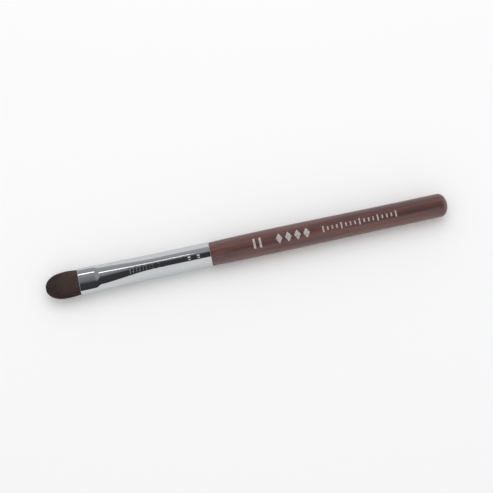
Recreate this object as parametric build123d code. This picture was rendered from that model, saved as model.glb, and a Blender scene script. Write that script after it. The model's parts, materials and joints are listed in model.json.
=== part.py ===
from build123d import *
import math
import os

# A short-handled oval hair brush that lies on a table, in millimetres.
# The brush's axis is parallel to X, with the hair tip at -X and the handle's end at +X.
# Z is up, the wide way of the flattened ferrule is Y, and the origin is under the middle.

# ---- Driving dimensions ----
OVERALL_LENGTH = 150.0
FREE_HAIR_LENGTH = 12.4
FERRULE_LENGTH = 48.6

BELLY_RADIUS = 4.6  # the handle's thickest place, which rests on the table
NECK_RADIUS = 4.46
SHOULDER_RADIUS = 4.28  # the handle where it meets the ferrule
HANDLE_END_RADIUS = 4.35  # the straight last stretch of the handle
HANDLE_END_STRAIGHT = 15.0
HANDLE_DOME_LENGTH = 3.0

BARREL_RADIUS = 4.55  # the ferrule's round stretch, outside
WALL = 0.35
MOUTH_WIDTH = 9.9
MOUTH_THICKNESS = 4.6
CRIMP_LENGTH = 5.8  # the flattened stretch behind the mouth
STEP_LENGTH = 2.2  # from the flattened stretch up to the taper
TAPER_LENGTH = 20.6  # from the step back to the round barrel

TENON_LENGTH = 18.0
GLUE_FILM = 0.08
HAIRLINE = 0.005  # left between the ferrule and what is glued into its barrel

# ---- Places along the axis ----
TIP_X = -OVERALL_LENGTH / 2
MOUTH_X = TIP_X + FREE_HAIR_LENGTH
RIM_X = MOUTH_X + FERRULE_LENGTH
HANDLE_END_X = OVERALL_LENGTH / 2
CRIMP_END_X = MOUTH_X + CRIMP_LENGTH
STEP_END_X = CRIMP_END_X + STEP_LENGTH
BARREL_X = STEP_END_X + TAPER_LENGTH
TENON_X = RIM_X - TENON_LENGTH

AXIS_HEIGHT = BELLY_RADIUS
AXIS_LINE = Axis((0, 0, AXIS_HEIGHT), (1, 0, 0))
SECTION_POINTS = 24


# ---- Shared shapes ----
def eased(start, end, share):
    """Goes smoothly from start to end as share goes from 0 to 1."""
    share = min(max(share, 0.0), 1.0)
    return start + (end - start) * share * share * (3 - 2 * share)


def oval_reach(angle, width, thickness, squareness):
    """How far an oval reaches from its middle at an angle from +Y towards +Z, in radians."""
    across = abs(math.cos(angle)) / (width / 2)
    upward = abs(math.sin(angle)) / (thickness / 2)
    return (across**squareness + upward**squareness) ** (-1 / squareness)


def oval_wire(x, width, thickness, squareness):
    """A closed oval across the axis. Squareness 2 is an ellipse, and more flattens its broad sides."""
    points = []
    for i in range(SECTION_POINTS):
        angle = 2 * math.pi * i / SECTION_POINTS
        reach = oval_reach(angle, width, thickness, squareness)
        points.append(Vector(x, reach * math.cos(angle), AXIS_HEIGHT + reach * math.sin(angle)))
    return Wire([Edge.make_spline(points, periodic=True)])


def tube_along_axis(start_x, end_x, radius):
    """A solid round bar on the brush's axis."""
    plane = Plane(origin=(start_x, 0, AXIS_HEIGHT), x_dir=(0, 1, 0), z_dir=(1, 0, 0))
    return extrude(plane * Circle(radius), end_x - start_x)


def slab_between(start_x, end_x):
    """All space between two places along the axis, wider than the brush."""
    reach = 4 * BELLY_RADIUS
    centre = ((start_x + end_x) / 2, 0, AXIS_HEIGHT)
    return Pos(*centre) * Box(end_x - start_x, reach, reach)


# ---- The ferrule's form: flattened mouth, crimp step, taper, round barrel ----
TAPER_FRONT_WIDTH = 9.55
TAPER_FRONT_THICKNESS = 6.0
TAPER_FRONT_SQUARENESS = 2.35
CRIMP_SQUARENESS = 3.0


def crimp_section(share):
    """Width, thickness and squareness from the mouth (share 0) to the crimp's end (share 1)."""
    return (MOUTH_WIDTH - 0.08 * share, MOUTH_THICKNESS + 0.1 * share, CRIMP_SQUARENESS)


def step_section(share):
    """Width, thickness and squareness from the crimp's end (share 0) to the taper (share 1)."""
    return tuple(eased(a, b, share) for a, b in zip(crimp_section(1), taper_section(0)))


def taper_section(share):
    """Width, thickness and squareness from the step (share 0) to the barrel (share 1)."""
    round_width = 2 * BARREL_RADIUS
    return (
        eased(TAPER_FRONT_WIDTH, round_width, share),
        eased(TAPER_FRONT_THICKNESS, round_width, share**0.8),
        eased(TAPER_FRONT_SQUARENESS, 2.0, share),
    )


# Each stretch: where it starts, where it ends, its sections, and how many steps its loft takes.
CRIMP = (MOUTH_X, CRIMP_END_X, crimp_section, 1)
STEP = (CRIMP_END_X, STEP_END_X, step_section, 3)
TAPER = (STEP_END_X, BARREL_X, taper_section, 4)


def stretch_form(stretch, inset):
    """The solid inside one stretch of the ferrule's outer surface, less an inset all round."""
    start, end, section, steps = stretch
    wires = []
    for i in range(steps + 1):
        width, thickness, squareness = section(i / steps)
        x = start + (end - start) * i / steps
        wires.append(oval_wire(x, width - 2 * inset, thickness - 2 * inset, squareness))
    return Solid.make_loft(wires, ruled=steps == 1)


# ---- Punched dents that stake the ferrule to the tenon ----
DENT_FROM_RIM = (4.5, 7.9)
DENT_BALL_RADIUS = 0.9
DENT_DEPTH = 0.3
MARK_TURN = 12.0  # the marked side is turned this many degrees towards -Y


def dent_balls(radius):
    """Balls at each dent, two on the marked side and two opposite."""
    rise = BARREL_RADIUS + DENT_BALL_RADIUS - DENT_DEPTH
    balls = Part()
    for from_rim in DENT_FROM_RIM:
        for turn in (MARK_TURN, MARK_TURN + 180):
            ball = Pos(RIM_X - from_rim, 0, AXIS_HEIGHT + rise) * Sphere(radius)
            balls += ball.rotate(AXIS_LINE, turn)
    return balls


# ---- Engraved ticks on the ferrule ----
TICK_COUNT = 11
TICK_PITCH = 1.2
TICK_WIDTH = 0.4
TICK_HEIGHTS = (1.8, 1.1)
TICK_DEPTH = 0.14
TICKS_FROM_MOUTH = 18.8


def engraved_ticks():
    """Blocks that stand in the ferrule's marked side and leave a tick each when cut away."""
    ticks = Part()
    for i in range(TICK_COUNT):
        x = MOUTH_X + TICKS_FROM_MOUTH + TICK_PITCH * i
        section = taper_section((x - STEP_END_X) / (BARREL_X - STEP_END_X))
        floor = oval_reach(math.radians(90 - MARK_TURN), *section) - TICK_DEPTH
        block = Box(TICK_WIDTH, TICK_HEIGHTS[i % 2], 2.0)
        ticks += Pos(x, 0, AXIS_HEIGHT + floor + 1.0) * block
    return ticks.rotate(AXIS_LINE, MARK_TURN)


def barrel_form(inset):
    """The solid inside the round stretch, less an inset, on the taper's own last section."""
    diameter = 2 * (BARREL_RADIUS - inset)
    section = Face(oval_wire(BARREL_X, diameter, diameter, 2.0))
    return extrude(section, RIM_X - BARREL_X, dir=(1, 0, 0))


def make_ferrule():
    """Seamless plated tube, crimped to an oval at the mouth and staked with four dents."""
    barrel = barrel_form(0) - barrel_form(WALL)
    barrel += dent_balls(DENT_BALL_RADIUS + WALL) & barrel_form(0)
    barrel -= dent_balls(DENT_BALL_RADIUS)
    taper = stretch_form(TAPER, 0) - stretch_form(TAPER, WALL)
    ticks = engraved_ticks()
    taper, barrel = taper - ticks, barrel - ticks
    step = stretch_form(STEP, 0) - stretch_form(STEP, WALL)
    crimp = stretch_form(CRIMP, 0) - stretch_form(CRIMP, WALL)
    return crimp + step + taper + barrel


# ---- The handle ----
NECK_FROM_RIM = 5.5
BELLY_FROM_RIM = 23.0
DOME_X = HANDLE_END_X - HANDLE_DOME_LENGTH
STRAIGHT_X = DOME_X - HANDLE_END_STRAIGHT
TENON_RADIUS = BARREL_RADIUS - WALL - GLUE_FILM
DENT_BACK_RADIUS = DENT_BALL_RADIUS + WALL + HAIRLINE
TENON_CHAMFER = 0.6


def handle_body(extra):
    """The visible wood, turned about the axis. Extra is added to its radius, as for a film on it."""
    shoulder = (RIM_X, SHOULDER_RADIUS + extra)
    neck = (RIM_X + NECK_FROM_RIM, NECK_RADIUS + extra)
    belly = (RIM_X + BELLY_FROM_RIM, BELLY_RADIUS + extra)
    straight = (STRAIGHT_X, HANDLE_END_RADIUS + extra)
    swell = Spline(shoulder, neck, belly, tangents=((1, 0.06), (1, 0)))
    fall = Spline(belly, straight, tangents=((1, 0), (1, 0)))
    side = Line(straight, (DOME_X, HANDLE_END_RADIUS + extra))
    dome_axes = (HANDLE_DOME_LENGTH + extra, HANDLE_END_RADIUS + extra)
    dome = EllipticalCenterArc((DOME_X, 0), *dome_axes, start_angle=0, arc_size=90)
    middle = Line(dome @ 0, (RIM_X, 0))
    front = Line((RIM_X, 0), shoulder)
    outline = make_face(Plane.XZ * (swell + fall + side + dome + middle + front))
    return Pos(0, 0, AXIS_HEIGHT) * revolve(outline, Axis.X)


def make_handle():
    """Turned wood with a chamfered tenon that goes into the ferrule."""
    tenon = tube_along_axis(TENON_X, RIM_X, TENON_RADIUS)
    front_edge = tenon.edges().sort_by(Axis.X)[0]
    tenon = chamfer(front_edge, TENON_CHAMFER)
    return handle_body(0) + (tenon - dent_balls(DENT_BACK_RADIUS))


GLUE_FROM_TENON_END = 1.5
GLUE_FROM_RIM = 1.0


def make_tenon_glue():
    """The film of glue that fills the gap between tenon and ferrule."""
    start, end = TENON_X + GLUE_FROM_TENON_END, RIM_X - GLUE_FROM_RIM
    film = tube_along_axis(start, end, TENON_RADIUS + GLUE_FILM - HAIRLINE)
    film -= tube_along_axis(start, end, TENON_RADIUS)
    return film - dent_balls(DENT_BACK_RADIUS)


# ---- Hair roots, binding and resin inside the ferrule ----
ROOTS_END_X = MOUTH_X + 16.5
BUNDLE_WIDTH = 7.4
BUNDLE_THICKNESS = 4.0
RESIN_END_X = MOUTH_X + 19.0
THREAD_RADIUS = 0.14
THREAD_TURNS = 4
THREAD_MIDDLE_X = MOUTH_X + 13.0


def bundle(start_x, end_x, extra):
    """The tied bundle of roots, with extra added all round."""
    section = Ellipse(BUNDLE_WIDTH / 2 + extra, BUNDLE_THICKNESS / 2 + extra)
    plane = Plane(origin=(start_x, 0, AXIS_HEIGHT), x_dir=(0, 1, 0), z_dir=(1, 0, 0))
    return extrude(plane * section, end_x - start_x)


def make_root_binding_thread():
    """Turns of thread side by side round the bundle, each turn a closed ring."""
    turns = []
    for i in range(THREAD_TURNS):
        x = THREAD_MIDDLE_X + (i - (THREAD_TURNS - 1) / 2) * 2.2 * THREAD_RADIUS
        outer = bundle(x - THREAD_RADIUS, x + THREAD_RADIUS, 2 * THREAD_RADIUS)
        outer = chamfer(outer.edges(), THREAD_RADIUS * 0.6)
        turns.append(outer - bundle(x - THREAD_RADIUS, x + THREAD_RADIUS, 0))
    return Compound(children=[s for turn in turns for s in turn.solids()])


def make_epoxy_plug(roots, thread):
    """Set resin round the tied bundle, filling the ferrule behind the full roots."""
    filling = stretch_form(TAPER, WALL) & slab_between(STEP_END_X, RESIN_END_X)
    return filling - roots - thread


# ---- The free hair, which bends just ahead of the mouth ----
FLEX_GAP = 0.15  # clear between the free hair and the roots at every bend
FLEX_RADIUS = 1.9
FLEX_X = MOUTH_X - FLEX_GAP - FLEX_RADIUS
HAIR_MOUTH_WIDTH = MOUTH_WIDTH - 2 * WALL
HAIR_WIDEST = 9.8
HAIR_TIP_THICKNESS = 0.7
HAIR_SECTIONS = 9
HAIR_WIDEST_SHARE = 0.45
LAST_SECTION_SHARE = 0.985


def hair_section(share):
    """Width, thickness and squareness of the hair from the mouth (share 0) to the tip (share 1)."""
    if share < HAIR_WIDEST_SHARE:
        width = eased(HAIR_MOUTH_WIDTH, HAIR_WIDEST, share / HAIR_WIDEST_SHARE)
    else:
        past = (share - HAIR_WIDEST_SHARE) / (1 - HAIR_WIDEST_SHARE)
        width = HAIR_WIDEST * math.sqrt(1 - past**2)
    thickness = eased(2 * FLEX_RADIUS, HAIR_TIP_THICKNESS, share**1.15)
    return (width, thickness, 2.3)


def hair_form():
    """All the hair ahead of the mouth as one solid with an oval end."""
    wires = []
    for i in range(HAIR_SECTIONS + 1):
        share = LAST_SECTION_SHARE * math.sin(math.pi / 2 * i / HAIR_SECTIONS)
        x = MOUTH_X - FREE_HAIR_LENGTH * share / LAST_SECTION_SHARE
        wires.append(oval_wire(x, *hair_section(share)))
    return Solid.make_loft(wires)


def flex_bar(radius):
    """A round bar across the brush on the line about which the free hair bends."""
    return Pos(FLEX_X, 0, AXIS_HEIGHT) * Rot(90, 0, 0) * Cylinder(radius, 2 * MOUTH_WIDTH)


def make_hair_tuft():
    """The hair that bends, ahead of the flex line, with a round back."""
    ahead = slab_between(TIP_X - 1, FLEX_X)
    return (hair_form() & ahead) + (hair_form() & flex_bar(FLEX_RADIUS))


def make_hair_roots():
    """The hair that stays put: out of the mouth to a round hollow, and inside down to the tied bundle."""
    outside = hair_form() & slab_between(FLEX_X, MOUTH_X)
    outside -= flex_bar(FLEX_RADIUS + FLEX_GAP)
    inside = stretch_form(CRIMP, WALL) + stretch_form(STEP, WALL)
    return outside + inside + bundle(STEP_END_X, ROOTS_END_X, 0)


# ---- Silver foil stamped on the lacquer ----
FOIL_FILM = 0.03
FOIL_TURN = 9.0
BARS_FROM_RIM = 16.2
BAR_COUNT = 2
BAR_PITCH = 2.2
BAR_SIZE = (0.8, 3.6)
LOZENGES_FROM_RIM = 25.4
LOZENGE_COUNT = 4
LOZENGE_PITCH = 3.4
LOZENGE_SIZE = (2.5, 3.7)
STROKES_FROM_RIM = 41.8
STROKE_COUNT = 17
STROKE_PITCH = 1.7
STROKE_SIZE = (0.55, 2.3)


def foil_outlines():
    """The flat outlines of the marks, seen from above, with X along the brush."""
    shapes = []
    for i in range(BAR_COUNT):
        shapes.append(Pos(RIM_X + BARS_FROM_RIM + BAR_PITCH * i, 0) * Rectangle(*BAR_SIZE))
    long_half, wide_half = (size / 2 for size in LOZENGE_SIZE)
    corners = [(long_half, 0), (0, wide_half), (-long_half, 0), (0, -wide_half)]
    for i in range(LOZENGE_COUNT):
        x = RIM_X + LOZENGES_FROM_RIM + LOZENGE_PITCH * i
        shapes.append(Pos(x, 0) * Polygon(*corners, align=None))
    for i in range(STROKE_COUNT):
        height = STROKE_SIZE[1] if i % 4 == 0 else STROKE_SIZE[1] * 0.6
        x = RIM_X + STROKES_FROM_RIM + STROKE_PITCH * i
        shapes.append(Pos(x, 0) * Rectangle(STROKE_SIZE[0], height))
    return shapes


def make_foil_marks():
    """Plain bars, lozenges and strokes of foil, each a thin film that follows the handle."""
    film = handle_body(FOIL_FILM) - handle_body(0)
    marks = []
    for outline in foil_outlines():
        prism = extrude(Pos(0, 0, AXIS_HEIGHT) * outline, 2 * BELLY_RADIUS)
        marks.append(film & prism.rotate(AXIS_LINE, FOIL_TURN))
    return Compound(children=[s for mark in marks for s in mark.solids()])


def main():
    os.makedirs("parts", exist_ok=True)
    roots, thread = make_hair_roots(), make_root_binding_thread()
    nodes = {
        "handle": make_handle(),
        "ferrule": make_ferrule(),
        "tenon_glue": make_tenon_glue(),
        "hair_roots": roots,
        "root_binding_thread": thread,
        "epoxy_plug": make_epoxy_plug(roots, thread),
        "hair_tuft": make_hair_tuft(),
        "foil_marks": make_foil_marks(),
    }
    for name, shape in nodes.items():
        export_step(shape, f"parts/{name}.step")
    print("tuft hinge at x", FLEX_X, "height", AXIS_HEIGHT)


if __name__ == "__main__":
    main()
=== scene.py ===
"""Looks of a short-handled oval hair brush: plated ferrule, lacquered handle and hair tuft."""

import json
import math
import random
import bpy
from bpy.props import FloatProperty, FloatVectorProperty, IntProperty, PointerProperty
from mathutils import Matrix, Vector


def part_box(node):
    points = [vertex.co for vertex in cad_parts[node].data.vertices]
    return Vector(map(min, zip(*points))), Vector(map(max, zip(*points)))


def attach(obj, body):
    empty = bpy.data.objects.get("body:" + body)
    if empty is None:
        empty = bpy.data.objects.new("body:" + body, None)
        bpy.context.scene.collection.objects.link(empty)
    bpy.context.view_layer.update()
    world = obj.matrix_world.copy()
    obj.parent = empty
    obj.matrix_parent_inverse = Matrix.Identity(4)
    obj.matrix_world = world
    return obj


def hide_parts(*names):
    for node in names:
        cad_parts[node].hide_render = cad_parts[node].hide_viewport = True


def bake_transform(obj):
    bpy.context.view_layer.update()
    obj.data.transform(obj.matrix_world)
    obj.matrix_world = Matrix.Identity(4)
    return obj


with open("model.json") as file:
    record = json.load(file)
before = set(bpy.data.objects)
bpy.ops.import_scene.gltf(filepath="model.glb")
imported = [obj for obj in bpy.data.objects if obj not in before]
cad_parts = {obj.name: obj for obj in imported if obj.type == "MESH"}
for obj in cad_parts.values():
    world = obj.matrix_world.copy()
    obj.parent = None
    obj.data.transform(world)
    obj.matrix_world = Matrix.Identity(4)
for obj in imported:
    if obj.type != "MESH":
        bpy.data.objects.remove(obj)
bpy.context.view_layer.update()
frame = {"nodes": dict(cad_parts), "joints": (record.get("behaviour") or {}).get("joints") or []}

bl_info = {
    "name": "Fine Detail Brush",
    "version": (1, 0, 0),
    "blender": (4, 5, 0),
    "location": "View3D > Sidebar > Brush",
    "description": "Builds the ferrule, handle finish, hair and foil of a fine detail brush",
    "category": "Object",
}

MM = 0.001

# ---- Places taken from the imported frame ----
FERRULE_LOW, FERRULE_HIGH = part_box("ferrule")
TUFT_LOW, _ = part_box("hair_tuft")
AXIS_HEIGHT = frame["joints"][0]["pos_m"][2]
MOUTH_X = FERRULE_LOW.x
RIM_X = FERRULE_HIGH.x
TIP_X = TUFT_LOW.x
FREE_HAIR = MOUTH_X - TIP_X

# ---- The ferrule's own form, as its solid has it ----
WALL = 0.35 * MM
BARREL_RADIUS = 4.55 * MM
MOUTH_WIDTH = 9.9 * MM
MOUTH_THICKNESS = 4.6 * MM
CRIMP_END_X = MOUTH_X + 5.8 * MM
STEP_END_X = CRIMP_END_X + 2.2 * MM
BARREL_X = STEP_END_X + 20.6 * MM
CRIMP_NARROWING = 0.08 * MM
CRIMP_THICKENING = 0.1 * MM
CRIMP_SQUARENESS = 3.0
STEP_FRONT = (9.55 * MM, 6.0 * MM, 2.35)  # width, thickness and squareness where the step ends
LIP = 0.14 * MM
FERRULE_COLUMNS = 224
MARK_TURN = math.radians(12)
DENT_RADIUS = 0.78 * MM
DENT_DEPTH = 0.3 * MM
DENTS_X = (RIM_X - 4.5 * MM, RIM_X - 7.9 * MM)
TICK_COUNT = 11
TICK_PITCH = 1.2 * MM
TICK_HALF_WIDTH = 0.2 * MM
TICK_HEIGHTS = (1.8 * MM, 1.1 * MM)
TICK_DEPTH = 0.12 * MM
TICK_EDGE = 0.09 * MM
FIRST_TICK_X = MOUTH_X + 18.8 * MM


# ---- Small helpers ----
def eased(start, end, share):
    """Goes smoothly from start to end as share goes from 0 to 1."""
    share = min(max(share, 0.0), 1.0)
    return start + (end - start) * share * share * (3 - 2 * share)


def steps(start, end, pitch):
    """Evenly spaced values from start up to but not including end, about pitch apart."""
    count = max(1, round(abs(end - start) / pitch))
    return [start + (end - start) * i / count for i in range(count)]


def deselect():
    """Leaves object mode with nothing selected."""
    if bpy.context.object and bpy.context.object.mode != "OBJECT":
        bpy.ops.object.mode_set(mode="OBJECT")
    bpy.ops.object.select_all(action="DESELECT")


def oval_reach(angle, width, thickness, squareness):
    """How far an oval reaches from its middle at an angle from +Y towards +Z."""
    across = abs(math.cos(angle)) / (width / 2)
    upward = abs(math.sin(angle)) / (thickness / 2)
    return (across**squareness + upward**squareness) ** (-1 / squareness)


def wrapped_grid(name, rows, columns, place):
    """A grid of rows by columns wrapped into a closed skin: place(row, turn) gives each point."""
    deselect()
    bpy.ops.mesh.primitive_grid_add(x_subdivisions=rows, y_subdivisions=columns, size=2)
    obj = bpy.context.object
    obj.name = name
    for vertex in obj.data.vertices:
        row = round((vertex.co.x / 2 + 0.5) * rows)
        turn = (vertex.co.y / 2 + 0.5) * 2 * math.pi
        vertex.co = place(row, turn)
    bpy.ops.object.mode_set(mode="EDIT")
    bpy.ops.mesh.select_all(action="SELECT")
    bpy.ops.mesh.remove_doubles(threshold=1e-7)
    bpy.ops.mesh.normals_make_consistent(inside=False)
    bpy.ops.object.mode_set(mode="OBJECT")
    bpy.ops.object.shade_smooth()
    return obj


def around_axis(x, turn, reach):
    """The point at a reach from the brush's axis, at a turn from +Y towards +Z."""
    return Vector((x, reach * math.cos(turn), AXIS_HEIGHT + reach * math.sin(turn)))


def dress(obj, material):
    """Gives a piece one material."""
    obj.data.materials.clear()
    obj.data.materials.append(material)


# ---- Materials ----
def new_material(name):
    """A new node material with its nodes, links and shader."""
    material = bpy.data.materials.new(name)
    material.use_nodes = True
    nodes = material.node_tree.nodes
    return material, nodes, material.node_tree.links, nodes["Principled BSDF"]


def object_coordinates(nodes, links, scale):
    """Object coordinates stretched by scale, in repeats per metre."""
    where = nodes.new("ShaderNodeTexCoord")
    mapping = nodes.new("ShaderNodeMapping")
    mapping.inputs["Scale"].default_value = scale
    links.new(where.outputs["Object"], mapping.inputs["Vector"])
    return mapping.outputs["Vector"]


def noise(nodes, links, vector, detail=4.0, roughness=0.55, distortion=0.0):
    """A noise pattern of scale 1 on the given coordinates."""
    texture = nodes.new("ShaderNodeTexNoise")
    texture.inputs["Scale"].default_value = 1.0
    texture.inputs["Detail"].default_value = detail
    texture.inputs["Roughness"].default_value = roughness
    texture.inputs["Distortion"].default_value = distortion
    links.new(vector, texture.inputs["Vector"])
    return texture.outputs["Fac"]


def ramp(nodes, links, value, stops):
    """A colour ramp through (position, colour) stops."""
    node = nodes.new("ShaderNodeValToRGB")
    elements = node.color_ramp.elements
    while len(elements) < len(stops):
        elements.new(0.5)
    for element, (position, colour) in zip(elements, stops):
        element.position = position
        element.color = (*colour, 1.0)
    links.new(value, node.inputs["Fac"])
    return node.outputs["Color"]


def mixed(nodes, links, factor, first, second, blend="MIX"):
    """Two colours mixed by a factor, which may be a number or a socket."""
    node = nodes.new("ShaderNodeMix")
    node.data_type = "RGBA"
    node.blend_type = blend
    for socket, value in ((node.inputs[0], factor), (node.inputs[6], first), (node.inputs[7], second)):
        if isinstance(value, bpy.types.NodeSocket):
            links.new(value, socket)
        else:
            socket.default_value = value
    return node.outputs[2]


def bump(nodes, links, shader, height, strength, distance):
    """Raises the surface by a height pattern."""
    node = nodes.new("ShaderNodeBump")
    node.inputs["Strength"].default_value = strength
    node.inputs["Distance"].default_value = distance
    links.new(height, node.inputs["Height"])
    links.new(node.outputs["Normal"], shader.inputs["Normal"])


def spread(nodes, links, value, low, high):
    """A 0 to 1 pattern spread over low to high."""
    node = nodes.new("ShaderNodeMapRange")
    node.inputs["To Min"].default_value = low
    node.inputs["To Max"].default_value = high
    links.new(value, node.inputs["Value"])
    return node.outputs["Result"]


def chrome_material(look):
    """Bright plating with a faint drawn grain along the tube."""
    material, nodes, links, shader = new_material("chrome_plating")
    shader.inputs["Metallic"].default_value = 1.0
    tint = tuple(look.plating_tint)
    darker = tuple(c * 0.93 for c in tint)
    drawn = noise(nodes, links, object_coordinates(nodes, links, (90, 2600, 2600)), detail=3)
    links.new(ramp(nodes, links, drawn, ((0.35, darker), (0.6, tint))), shader.inputs["Base Color"])
    smear = noise(nodes, links, object_coordinates(nodes, links, (160, 420, 420)), detail=4)
    low = look.plating_roughness
    links.new(spread(nodes, links, smear, low * 0.6, low * 1.6), shader.inputs["Roughness"])
    bump(nodes, links, shader, drawn, 0.03, 0.00002)
    return material


def wood_material(look):
    """Stained wood with long grain under a clear lacquer."""
    material, nodes, links, shader = new_material("lacquered_wood")
    stain = tuple(look.stain)
    deep = tuple(c * 0.62 for c in stain)
    amber = (stain[0] * 1.55, stain[1] * 1.75, stain[2] * 1.5)
    long_grain = object_coordinates(nodes, links, (34, 620, 620))
    figure = noise(nodes, links, long_grain, detail=5, roughness=0.6, distortion=0.8)
    base = ramp(nodes, links, figure, ((0.3, deep), (0.5, stain), (0.72, amber)))
    pores = noise(nodes, links, object_coordinates(nodes, links, (260, 5200, 5200)), detail=2)
    pore_shade = ramp(nodes, links, pores, ((0.42, (0.6, 0.6, 0.6)), (0.52, (1, 1, 1))))
    streaked = mixed(nodes, links, 0.55, base, pore_shade, blend="MULTIPLY")
    broad = noise(nodes, links, object_coordinates(nodes, links, (22, 90, 90)), detail=2)
    shade = ramp(nodes, links, broad, ((0.35, (0.82, 0.8, 0.8)), (0.65, (1.15, 1.12, 1.1))))
    links.new(mixed(nodes, links, 1.0, streaked, shade, blend="MULTIPLY"), shader.inputs["Base Color"])
    links.new(spread(nodes, links, figure, 0.42, 0.6), shader.inputs["Roughness"])
    shader.inputs["Coat Weight"].default_value = 0.5
    shader.inputs["Coat Roughness"].default_value = look.lacquer_roughness
    shader.inputs["Coat IOR"].default_value = 1.5
    bump(nodes, links, shader, pores, 0.12, 0.00003)
    return material


def foil_material(look):
    """Silver foil, a little broken where the wood's pores show through."""
    material, nodes, links, shader = new_material("silver_foil")
    tint = tuple(look.foil_tint)
    worn = tuple(c * 0.62 for c in tint)
    wear = noise(nodes, links, object_coordinates(nodes, links, (1500, 2600, 2600)), detail=3)
    links.new(ramp(nodes, links, wear, ((0.36, worn), (0.5, tint))), shader.inputs["Base Color"])
    shader.inputs["Metallic"].default_value = 0.35
    links.new(spread(nodes, links, wear, 0.5, 0.3), shader.inputs["Roughness"])
    bump(nodes, links, shader, wear, 0.15, 0.00002)
    return material


def hair_material(name, look, shade):
    """Dark brown hair: tone from each hair's own attribute, with fine streaks along the brush."""
    material, nodes, links, shader = new_material(name)
    # shade scales the whole hair colour down; the core's copy at 0.8 is painted shade
    colour = tuple(c * shade for c in look.hair_colour)
    dark = tuple(c * 0.5 for c in colour)
    light = tuple(c * 1.6 for c in colour)
    streak = noise(nodes, links, object_coordinates(nodes, links, (220, 5200, 5200)), detail=3)
    tone = nodes.new("ShaderNodeAttribute")
    tone.attribute_name = "hair_tone"
    both = nodes.new("ShaderNodeMath")
    both.operation = "ADD"
    links.new(streak, both.inputs[0])
    links.new(tone.outputs["Fac"], both.inputs[1])
    stops = ((0.3, dark), (0.52, colour), (0.8, light))
    links.new(ramp(nodes, links, both.outputs[0], stops), shader.inputs["Base Color"])
    shader.inputs["Roughness"].default_value = look.hair_roughness
    shader.inputs["Specular IOR Level"].default_value = 0.4
    bump(nodes, links, shader, streak, 0.4, 0.00006)
    return material


def plain_inside_material(name, colour, roughness, grain_scale, transmission=0.0):
    """A small hidden piece's finish, with a fine grain."""
    material, nodes, links, shader = new_material(name)
    grain = noise(nodes, links, object_coordinates(nodes, links, grain_scale), detail=3)
    darker = tuple(c * 0.7 for c in colour)
    links.new(ramp(nodes, links, grain, ((0.35, darker), (0.6, colour))), shader.inputs["Base Color"])
    shader.inputs["Roughness"].default_value = roughness
    shader.inputs["Transmission Weight"].default_value = transmission
    bump(nodes, links, shader, grain, 0.2, 0.00003)
    return material


# ---- Sizes and colours a user would change ----
class FerruleLook(bpy.types.PropertyGroup):
    """The plated tube's finish."""

    plating_tint: FloatVectorProperty(
        name="Plating tint", description="Colour of the plating",
        subtype="COLOR", size=3, min=0, max=1, default=(0.56, 0.575, 0.585),
    )
    plating_roughness: FloatProperty(
        name="Plating roughness", description="How blurred its reflections are",
        subtype="FACTOR", min=0, max=1, default=0.055,
    )


class HandleLook(bpy.types.PropertyGroup):
    """The handle's wood and lacquer."""

    stain: FloatVectorProperty(
        name="Stain", description="Colour of the stained wood",
        subtype="COLOR", size=3, min=0, max=1, default=(0.106, 0.036, 0.030),
    )
    lacquer_roughness: FloatProperty(
        name="Lacquer roughness", description="How blurred the lacquer's reflections are",
        subtype="FACTOR", min=0, max=1, default=0.28,
    )
    foil_tint: FloatVectorProperty(
        name="Foil tint", description="Colour of the stamped foil",
        subtype="COLOR", size=3, min=0, max=1, default=(0.58, 0.53, 0.50),
    )


class HairLook(bpy.types.PropertyGroup):
    """The hair's number, thickness and colour."""

    hair_colour: FloatVectorProperty(
        name="Hair colour", description="Middle colour of the hair",
        subtype="COLOR", size=3, min=0, max=1, default=(0.075, 0.047, 0.039),
    )
    hair_roughness: FloatProperty(
        name="Hair roughness", description="How dull the hair is",
        subtype="FACTOR", min=0, max=1, default=0.5,
    )
    hair_count: IntProperty(
        name="Hairs", description="Separate hairs laid over the bundle", min=100, max=4000, default=1800,
    )
    hair_radius: FloatProperty(
        name="Hair radius", description="Radius of a hair at its thickest",
        subtype="DISTANCE", unit="LENGTH", min=0.00001, default=0.00005,
    )


class StageLook(bpy.types.PropertyGroup):
    """The floor and the studio light."""

    world_light: FloatProperty(
        name="Room light", description="Strength of the even light from all round", min=0, default=0.85,
    )
    key_power: FloatProperty(
        name="Key power", description="Power of the large soft lamp behind the brush",
        subtype="POWER", unit="POWER", min=0, default=0.9,
    )
    floor_colour: FloatVectorProperty(
        name="Floor colour", description="Colour of the floor",
        subtype="COLOR", size=3, min=0, max=1, default=(0.93, 0.93, 0.93),
    )


# ---- Ferrule ----
def ferrule_section(x):
    """Width, thickness and squareness of the ferrule outside, at a place along it."""
    if x <= CRIMP_END_X:
        share = max(0.0, (x - MOUTH_X) / (CRIMP_END_X - MOUTH_X))
        width = MOUTH_WIDTH - CRIMP_NARROWING * share
        return (width, MOUTH_THICKNESS + CRIMP_THICKENING * share, CRIMP_SQUARENESS)
    if x <= STEP_END_X:
        share = (x - CRIMP_END_X) / (STEP_END_X - CRIMP_END_X)
        flat = (MOUTH_WIDTH - CRIMP_NARROWING, MOUTH_THICKNESS + CRIMP_THICKENING, CRIMP_SQUARENESS)
        return tuple(eased(a, b, share) for a, b in zip(flat, STEP_FRONT))
    share = min(1.0, (x - STEP_END_X) / (BARREL_X - STEP_END_X))
    round_width = 2 * BARREL_RADIUS
    return (
        eased(STEP_FRONT[0], round_width, share),
        eased(STEP_FRONT[1], round_width, share**0.8),
        eased(STEP_FRONT[2], 2.0, share),
    )


def side_distance(turn, middle, reach):
    """Distance round the ferrule from a line at the turn called middle."""
    return reach * ((turn - middle + math.pi) % (2 * math.pi) - math.pi)


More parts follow.
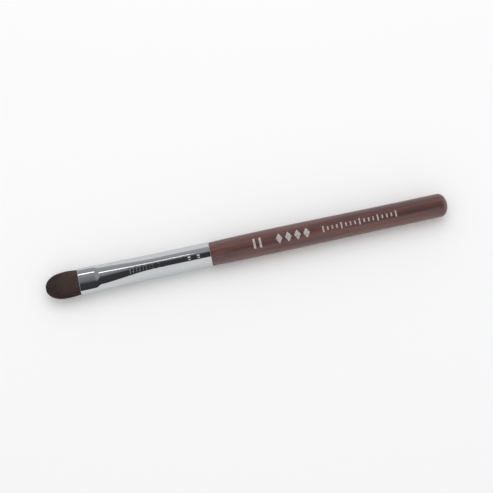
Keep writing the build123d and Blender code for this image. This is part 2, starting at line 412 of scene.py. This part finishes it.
def pressed_in(x, turn, reach):
    """How far dents and ticks lower the surface at a point."""
    depth = 0.0
    marked_side = math.pi / 2 + MARK_TURN
    for dent_x in DENTS_X:
        for middle in (marked_side, marked_side + math.pi):
            away = math.hypot(x - dent_x, side_distance(turn, middle, reach))
            hollow = max(0.0, 1 - (away / DENT_RADIUS) ** 2)
            depth = max(depth, DENT_DEPTH * hollow**1.3)
    nearest = round((x - FIRST_TICK_X) / TICK_PITCH)
    if 0 <= nearest < TICK_COUNT:
        along = abs(x - FIRST_TICK_X - nearest * TICK_PITCH) - TICK_HALF_WIDTH
        across = abs(side_distance(turn, marked_side, reach)) - TICK_HEIGHTS[nearest % 2] / 2
        beyond = max(along, across)
        depth = max(depth, eased(TICK_DEPTH, 0.0, beyond / TICK_EDGE + 0.5))
    return depth


def ferrule_path():
    """Stations once round the wall: (x, inset), along the outside to the rim and back inside to the mouth."""
    last_tick_x = FIRST_TICK_X + TICK_PITCH * TICK_COUNT
    ticks_from, dents_from = FIRST_TICK_X - 0.5 * MM, DENTS_X[1] - 1.0 * MM
    outside = [MOUTH_X + LIP]
    outside += steps(MOUTH_X + 2 * LIP, CRIMP_END_X, 0.25 * MM)
    outside += steps(CRIMP_END_X, STEP_END_X, 0.11 * MM)
    outside += steps(STEP_END_X, ticks_from, 0.32 * MM)
    outside += steps(ticks_from, last_tick_x, 0.1 * MM)
    outside += steps(last_tick_x, dents_from, 0.4 * MM)
    outside += steps(dents_from, DENTS_X[0] + 1.0 * MM, 0.12 * MM)
    outside += steps(DENTS_X[0] + 1.0 * MM, RIM_X - LIP, 0.3 * MM)
    path = [(x, 0.0) for x in outside]
    path += [(RIM_X - LIP, 0.0), (RIM_X - 0.3 * LIP, 0.3 * LIP), (RIM_X, LIP), (RIM_X, WALL)]
    inside = steps(RIM_X - LIP, MOUTH_X + LIP, 1.6 * MM)
    path += [(x, WALL) for x in inside]
    path += [(MOUTH_X + 0.4 * LIP, 0.93 * WALL), (MOUTH_X, 0.7 * WALL)]
    path += [(MOUTH_X, LIP), (MOUTH_X + 0.3 * LIP, 0.3 * LIP), (MOUTH_X + LIP, 0.0)]
    return path


class BRUSH_OT_ferrule(bpy.types.Operator):
    """Make the plated ferrule with its crimp, dents and ticks"""

    bl_idname = "brush.ferrule"
    bl_label = "Ferrule"

    def execute(self, context):
        path = ferrule_path()

        def place(row, turn):
            x, inset = path[row]
            width, thickness, squareness = ferrule_section(x)
            reach = oval_reach(turn, width - 2 * inset, thickness - 2 * inset, squareness)
            if inset == 0:
                reach -= pressed_in(x, turn, reach)
            return around_axis(x, turn, reach)

        ferrule = wrapped_grid("ferrule_tube", len(path) - 1, FERRULE_COLUMNS, place)
        dress(ferrule, chrome_material(context.scene.brush_ferrule))
        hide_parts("ferrule")
        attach(ferrule, "brush")
        return {"FINISHED"}


# ---- Handle and foil ----
class BRUSH_OT_handle(bpy.types.Operator):
    """Give the turned handle its stained grain and lacquer"""

    bl_idname = "brush.handle"
    bl_label = "Handle"

    def execute(self, context):
        handle = frame["nodes"]["handle"]
        dress(handle, wood_material(context.scene.brush_handle))
        return {"FINISHED"}


class BRUSH_OT_foil(bpy.types.Operator):
    """Give the stamped marks their silver foil"""

    bl_idname = "brush.foil"
    bl_label = "Foil marks"

    def execute(self, context):
        dress(frame["nodes"]["foil_marks"], foil_material(context.scene.brush_handle))
        return {"FINISHED"}


# ---- Pieces inside the ferrule ----
class BRUSH_OT_inside(bpy.types.Operator):
    """Give the roots, thread, resin and glue inside the ferrule their finishes"""

    bl_idname = "brush.inside"
    bl_label = "Inside pieces"

    def execute(self, context):
        nodes = frame["nodes"]
        roots = hair_material("root_hair", context.scene.brush_hair, 0.9)
        dress(nodes["hair_roots"], roots)
        thread = plain_inside_material("cotton_thread", (0.68, 0.63, 0.52), 0.9, (9000, 1200, 1200))
        dress(nodes["root_binding_thread"], thread)
        resin = plain_inside_material("amber_resin", (0.42, 0.25, 0.09), 0.15, (500, 500, 500), 0.3)
        dress(nodes["epoxy_plug"], resin)
        glue = plain_inside_material("pale_glue", (0.7, 0.64, 0.48), 0.3, (700, 700, 700))
        dress(nodes["tenon_glue"], glue)
        return {"FINISHED"}


# ---- Hair ----
HAIR_MOUTH_WIDTH = MOUTH_WIDTH - 2 * WALL
HAIR_WIDEST = 9.8 * MM
HAIR_WIDEST_SHARE = 0.38
HAIR_BLUNTNESS = 2.6
HAIR_ROOT_THICKNESS = 3.84 * MM
HAIR_TIP_THICKNESS = 0.62 * MM
HAIR_SQUARENESS = 2.3
HIDDEN_ROOT = 1.2 * MM
CORE_SEED = 5
CORE_COLUMNS = 180
CORE_ROWS = 40
CORE_LAST_SHARE = 0.985
CORE_INSET = 0.1 * MM
FURROW_DEPTH = 0.1 * MM
HAIR_SEED = 11


def hair_outline_half(share):
    """Half the tuft's outline width, from the mouth (share 0) to the tip (share 1)."""
    if share < HAIR_WIDEST_SHARE:
        return eased(HAIR_MOUTH_WIDTH, HAIR_WIDEST, share / HAIR_WIDEST_SHARE) / 2
    past = (share - HAIR_WIDEST_SHARE) / (1 - HAIR_WIDEST_SHARE)
    return HAIR_WIDEST / 2 * math.sqrt(max(0.0, 1 - past**HAIR_BLUNTNESS))


def hair_thickness(share):
    """The tuft's thickness from the mouth to the tip."""
    return eased(HAIR_ROOT_THICKNESS, HAIR_TIP_THICKNESS, max(0.0, share) ** 1.15)


class BRUSH_OT_hair(bpy.types.Operator):
    """Make the tuft: a combed core with fine separate hairs laid over it"""

    bl_idname = "brush.hair"
    bl_label = "Hair tuft"

    def execute(self, context):
        look = context.scene.brush_hair
        core = self.make_core(look)
        hairs = self.make_hairs(look)
        for piece in (core, hairs):
            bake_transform(piece)
        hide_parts("hair_tuft")
        return {"FINISHED"}

    def make_core(self, look):
        """The solid middle of the tuft, combed into shallow furrows."""
        rng = random.Random(CORE_SEED)
        furrow = [rng.uniform(0.0, 1.0) for _ in range(CORE_COLUMNS)]
        shares = [-HIDDEN_ROOT / FREE_HAIR, 0.0]
        shares += [math.sin(math.pi / 2 * i / CORE_ROWS) * CORE_LAST_SHARE for i in range(1, CORE_ROWS + 1)]

        def place(row, turn):
            share = shares[min(row, len(shares) - 1)]
            column = round(turn / (2 * math.pi) * CORE_COLUMNS) % CORE_COLUMNS
            inset = CORE_INSET + FURROW_DEPTH * furrow[column]
            width = 2 * hair_outline_half(share) - 2 * inset
            thickness = max(0.1 * MM, hair_thickness(share) - 2 * inset)
            reach = oval_reach(turn, max(width, 0.02 * MM), thickness, HAIR_SQUARENESS)
            if row >= len(shares):
                reach = 0.0
            return around_axis(MOUTH_X - FREE_HAIR * share, turn, reach)

        core = wrapped_grid("hair_core", len(shares), CORE_COLUMNS, place)
        # The core gets a hair_tone of -0.06 and a shade of 0.8, a darker copy of the strand hair: painted
        # shade between the hairs
        tone = core.data.attributes.new("hair_tone", "FLOAT", "POINT")
        tone.data.foreach_set("value", [-0.06] * len(core.data.vertices))
        dress(core, hair_material("core_hair", look, 0.8))
        return core

    def make_hairs(self, look):
        """Fine tapered hairs over the core, each ending at the tuft's oval outline."""
        template = self.hair_template(look.hair_radius)
        rng = random.Random(HAIR_SEED)
        copies = []
        for i in range(look.hair_count):
            copies.append(self.laid_hair(template, rng, bpy.context.scene.collection, i))
        bpy.data.objects.remove(template)
        deselect()
        for copy in copies:
            copy.select_set(True)
        bpy.context.view_layer.objects.active = copies[0]
        bpy.ops.object.join()
        hairs = bpy.context.object
        hairs.name = "hair_strands"
        bpy.ops.object.shade_smooth()
        dress(hairs, hair_material("strand_hair", look, 1.0))
        return hairs

    def hair_template(self, radius):
        """One straight hair of unit length along X, three-sided, thickest in its lower half."""
        deselect()
        bpy.ops.mesh.primitive_cone_add(
            vertices=3, radius1=radius, radius2=radius * 0.12, depth=1.0,
            rotation=(0, math.pi / 2, 0), location=(0.5, 0, 0),
        )
        template = bpy.context.object
        bpy.ops.object.transform_apply(location=True, rotation=True, scale=True)
        mesh = template.data
        bpy.ops.object.mode_set(mode="EDIT")
        bpy.ops.mesh.select_all(action="DESELECT")
        bpy.ops.object.mode_set(mode="OBJECT")
        for edge in mesh.edges:
            ends = [mesh.vertices[i].co.x for i in edge.vertices]
            edge.select = abs(ends[0] - ends[1]) > 0.5
        bpy.ops.object.mode_set(mode="EDIT")
        bpy.context.tool_settings.mesh_select_mode = (False, True, False)
        bpy.ops.mesh.subdivide(number_cuts=7)
        bpy.ops.object.mode_set(mode="OBJECT")
        for vertex in mesh.vertices:
            belly = 0.75 + 0.5 * math.sin(math.pi * min(1.0, vertex.co.x * 1.3))
            vertex.co.y *= belly
            vertex.co.z *= belly
        return template

    def laid_hair(self, template, rng, collection, number):
        """A copy of the hair laid from the mouth to the outline, at a random place in the skin."""
        turn = rng.uniform(0, 2 * math.pi)
        across = math.copysign(abs(math.cos(turn)) ** (2 / HAIR_SQUARENESS), math.cos(turn))
        upward = math.copysign(abs(math.sin(turn)) ** (2 / HAIR_SQUARENESS), math.sin(turn))
        if rng.random() < 0.6:
            across = rng.uniform(-0.97, 0.97)
            side = (1 - abs(across) ** HAIR_SQUARENESS) ** (1 / HAIR_SQUARENESS)
            upward = math.copysign(side, rng.random() - 0.5)
        depth = 1 - 0.09 * rng.random() ** 1.5
        drift = rng.gauss(0, 0.012)
        wander = rng.gauss(0, 0.02)
        end_share = self.share_where_outline_meets(abs(across) * depth)
        end_share -= abs(rng.gauss(0, 0.018)) + 0.004
        tone = rng.gauss(0, 0.09)
        mesh = template.data.copy()
        for vertex in mesh.vertices:
            along = vertex.co.x
            start = -HIDDEN_ROOT / FREE_HAIR
            share = start + (end_share - start) * along
            spread_half = eased(HAIR_MOUTH_WIDTH, HAIR_WIDEST, share / HAIR_WIDEST_SHARE) / 2
            half_thickness = hair_thickness(share) / 2
            shift = drift * along + wander * math.sin(math.pi * along)
            y = (across * depth + shift) * spread_half
            z = upward * depth * half_thickness
            edge = hair_outline_half(share)
            if abs(y) > edge > 0:
                y = math.copysign(edge, y)
            vertex.co = Vector((
                MOUTH_X - FREE_HAIR * share,
                y + vertex.co.y,
                AXIS_HEIGHT + z - vertex.co.z,
            ))
        values = mesh.attributes.new("hair_tone", "FLOAT", "POINT")
        values.data.foreach_set("value", [tone] * len(mesh.vertices))
        copy = bpy.data.objects.new(f"hair_{number}", mesh)
        collection.objects.link(copy)
        return copy

    def share_where_outline_meets(self, across):
        """How far along a hair at this place across the bundle runs before the outline ends it."""
        reach = min(0.999, across)
        past = (1 - reach * reach) ** (1 / HAIR_BLUNTNESS)
        return HAIR_WIDEST_SHARE + (1 - HAIR_WIDEST_SHARE) * past


# ---- Floor, light and camera ----
CAMERA_AZIMUTH = math.radians(-12.45)
CAMERA_ELEVATION = math.radians(75.5)
CAMERA_DISTANCE = 0.45
LENS = 90.0
SENSOR_WIDTH = 36.0
CAMERA_AIM_X = -0.55 * MM
CARD_DISTANCE = 0.6
CARD_BEHIND = math.radians(-64.5)
CARD_FRONT = math.radians(35.5)
CARD_ROWS = 48
STRIP_LEAN = math.radians(-25.3)
STRIP_ENDS_X = (-0.30, -0.0165)
STRIP_HALF_WIDTH = 0.010
STRIP_STRENGTH = 4.0
KEY_PLACE = (0.05, 0.28, 0.55)
KEY_SIZE = 0.5
FLOOR_SIZE = 6


def emission_material(name):
    """A material that only shines, with its nodes."""
    material = bpy.data.materials.new(name)
    material.use_nodes = True
    nodes, links = material.node_tree.nodes, material.node_tree.links
    nodes.clear()
    out = nodes.new("ShaderNodeOutputMaterial")
    shine = nodes.new("ShaderNodeEmission")
    links.new(shine.outputs[0], out.inputs["Surface"])
    return material, nodes, links, shine


def seen_only_in_gloss(obj):
    """A studio card: it shows in reflections and nowhere else."""
    obj.visible_camera = False
    obj.visible_diffuse = False
    obj.visible_shadow = False
    obj.visible_transmission = False
    obj.visible_volume_scatter = False


class BRUSH_OT_stage(bpy.types.Operator):
    """Make the floor, the soft studio light, the reflected cards and the camera"""

    bl_idname = "brush.stage"
    bl_label = "Stage"

    def execute(self, context):
        look = context.scene.brush_stage
        self.make_floor(look)
        self.make_world(context, look)
        self.make_key_light(look)
        self.make_grey_card()
        self.make_strip_card()
        self.make_camera(context)
        context.scene.view_settings.view_transform = "Standard"
        return {"FINISHED"}

    def make_floor(self, look):
        """The plain pale floor."""
        deselect()
        bpy.ops.mesh.primitive_plane_add(size=FLOOR_SIZE, location=(0, 0, 0))
        floor = bpy.context.object
        floor.name = "floor"
        material, _, _, shader = new_material("pale_floor")
        shader.inputs["Base Color"].default_value = (*look.floor_colour, 1)
        shader.inputs["Roughness"].default_value = 0.9
        shader.inputs["Specular IOR Level"].default_value = 0.0
        floor.data.materials.append(material)

    def make_world(self, context, look):
        """Even light from all round, and white where it is seen directly, in gloss or through glass."""
        world = bpy.data.worlds.new("studio")
        world.use_nodes = True
        context.scene.world = world
        nodes, links = world.node_tree.nodes, world.node_tree.links
        background = nodes["Background"]
        path = nodes.new("ShaderNodeLightPath")
        seen = nodes.new("ShaderNodeMath")
        seen.operation = "MAXIMUM"
        links.new(path.outputs["Is Camera Ray"], seen.inputs[0])
        links.new(path.outputs["Is Glossy Ray"], seen.inputs[1])
        either = nodes.new("ShaderNodeMath")
        either.operation = "MAXIMUM"
        links.new(seen.outputs[0], either.inputs[0])
        links.new(path.outputs["Is Transmission Ray"], either.inputs[1])
        strength = nodes.new("ShaderNodeMapRange")
        strength.inputs["To Min"].default_value = look.world_light
        strength.inputs["To Max"].default_value = 1.0
        links.new(either.outputs[0], strength.inputs["Value"])
        links.new(strength.outputs["Result"], background.inputs["Strength"])
        background.inputs["Color"].default_value = (1, 1, 1, 1)

    def make_key_light(self, look):
        """A large soft lamp behind the brush, which shows in no reflection."""
        deselect()
        bpy.ops.object.light_add(type="AREA", location=KEY_PLACE)
        key = bpy.context.object
        key.name = "key_light"
        key.data.shape = "SQUARE"
        key.data.size = KEY_SIZE
        key.data.energy = look.key_power
        key.rotation_euler = (Vector((0, 0, 0)) - key.location).to_track_quat("-Z", "Y").to_euler()
        key.visible_glossy = False

    def make_grey_card(self):
        """A curved card over the brush, grey behind it and dark from overhead to the front."""
        deselect()
        bpy.ops.mesh.primitive_grid_add(x_subdivisions=CARD_ROWS, y_subdivisions=1, size=2)
        card = bpy.context.object
        card.name = "grey_card"
        for vertex in card.data.vertices:
            lean = CARD_BEHIND + (CARD_FRONT - CARD_BEHIND) * (vertex.co.x / 2 + 0.5)
            vertex.co = Vector((
                vertex.co.y * 1.2,
                -CARD_DISTANCE * math.sin(lean),
                AXIS_HEIGHT + CARD_DISTANCE * math.cos(lean),
            ))
        material, nodes, links, shine = emission_material("grey_card")
        where = nodes.new("ShaderNodeTexCoord")
        parts = nodes.new("ShaderNodeSeparateXYZ")
        links.new(where.outputs["Object"], parts.inputs[0])
        lean = nodes.new("ShaderNodeMath")
        lean.operation = "ARCTAN2"
        links.new(parts.outputs["Y"], lean.inputs[0])
        links.new(parts.outputs["Z"], lean.inputs[1])
        share = nodes.new("ShaderNodeMapRange")
        share.inputs["From Min"].default_value = -CARD_BEHIND
        share.inputs["From Max"].default_value = -CARD_FRONT
        links.new(lean.outputs[0], share.inputs["Value"])

        def grey(value):
            return (value, value, value * 1.03)

        stops = (
            (0.0, grey(0.95)), (0.03, grey(0.5)), (0.2, grey(0.45)), (0.47, grey(0.4)),
            (0.56, grey(0.06)), (0.97, grey(0.05)), (1.0, grey(0.6)),
        )
        links.new(ramp(nodes, links, share.outputs["Result"], stops), shine.inputs["Color"])
        card.data.materials.append(material)
        seen_only_in_gloss(card)

    def make_strip_card(self):
        """A narrow bright strip behind the brush, over the hair end."""
        reach = CARD_DISTANCE * 0.85
        low_x, high_x = STRIP_ENDS_X
        deselect()
        bpy.ops.mesh.primitive_plane_add(size=1, location=(0, 0, 0))
        strip = bpy.context.object
        strip.name = "strip_card"
        for vertex in strip.data.vertices:
            side = STRIP_HALF_WIDTH if vertex.co.y > 0 else -STRIP_HALF_WIDTH
            vertex.co = Vector((
                high_x if vertex.co.x > 0 else low_x,
                -reach * math.sin(STRIP_LEAN) + side * math.cos(STRIP_LEAN),
                AXIS_HEIGHT + reach * math.cos(STRIP_LEAN) + side * math.sin(STRIP_LEAN),
            ))
        material, _, _, shine = emission_material("strip_card")
        shine.inputs["Strength"].default_value = STRIP_STRENGTH
        strip.data.materials.append(material)
        seen_only_in_gloss(strip)

    def make_camera(self, context):
        """The camera, well above the brush and a little to its left."""
        back = Vector((
            math.sin(CAMERA_AZIMUTH) * math.cos(CAMERA_ELEVATION),
            -math.cos(CAMERA_AZIMUTH) * math.cos(CAMERA_ELEVATION),
            math.sin(CAMERA_ELEVATION),
        ))
        centre = Vector((CAMERA_AIM_X, 0, AXIS_HEIGHT))
        deselect()
        bpy.ops.object.camera_add(location=centre + back * CAMERA_DISTANCE)
        camera = bpy.context.object
        camera.rotation_euler = (-back).to_track_quat("-Z", "Y").to_euler()
        camera.data.lens = LENS
        camera.data.sensor_width = SENSOR_WIDTH
        camera.data.clip_start = 0.01
        context.scene.camera = camera


class BRUSH_PT_panel(bpy.types.Panel):
    """Sizes, colours and steps of the brush"""

    bl_idname = "BRUSH_PT_panel"
    bl_label = "Fine Detail Brush"
    bl_space_type = "VIEW_3D"
    bl_region_type = "UI"
    bl_category = "Brush"

    def draw(self, context):
        for group in (
            context.scene.brush_ferrule,
            context.scene.brush_handle,
            context.scene.brush_hair,
            context.scene.brush_stage,
        ):
            box = self.layout.box()
            for name in group.__annotations__:
                box.prop(group, name)
        for operator in OPERATORS:
            self.layout.operator(operator.bl_idname)


OPERATORS = (
    BRUSH_OT_ferrule,
    BRUSH_OT_handle,
    BRUSH_OT_foil,
    BRUSH_OT_inside,
    BRUSH_OT_hair,
    BRUSH_OT_stage,
)
GROUPS = (
    ("brush_ferrule", FerruleLook),
    ("brush_handle", HandleLook),
    ("brush_hair", HairLook),
    ("brush_stage", StageLook),
)


def register():
    for name, group in GROUPS:
        bpy.utils.register_class(group)
        setattr(bpy.types.Scene, name, PointerProperty(type=group))
    for operator in OPERATORS:
        bpy.utils.register_class(operator)
    bpy.utils.register_class(BRUSH_PT_panel)


def unregister():
    bpy.utils.unregister_class(BRUSH_PT_panel)
    for operator in reversed(OPERATORS):
        bpy.utils.unregister_class(operator)
    for name, group in reversed(GROUPS):
        delattr(bpy.types.Scene, name)
        bpy.utils.unregister_class(group)


def main():
    register()
    bpy.ops.brush.ferrule()
    bpy.ops.brush.handle()
    bpy.ops.brush.foil()
    bpy.ops.brush.inside()
    bpy.ops.brush.hair()
    bpy.ops.brush.stage()


if __name__ == "__main__":
    main()
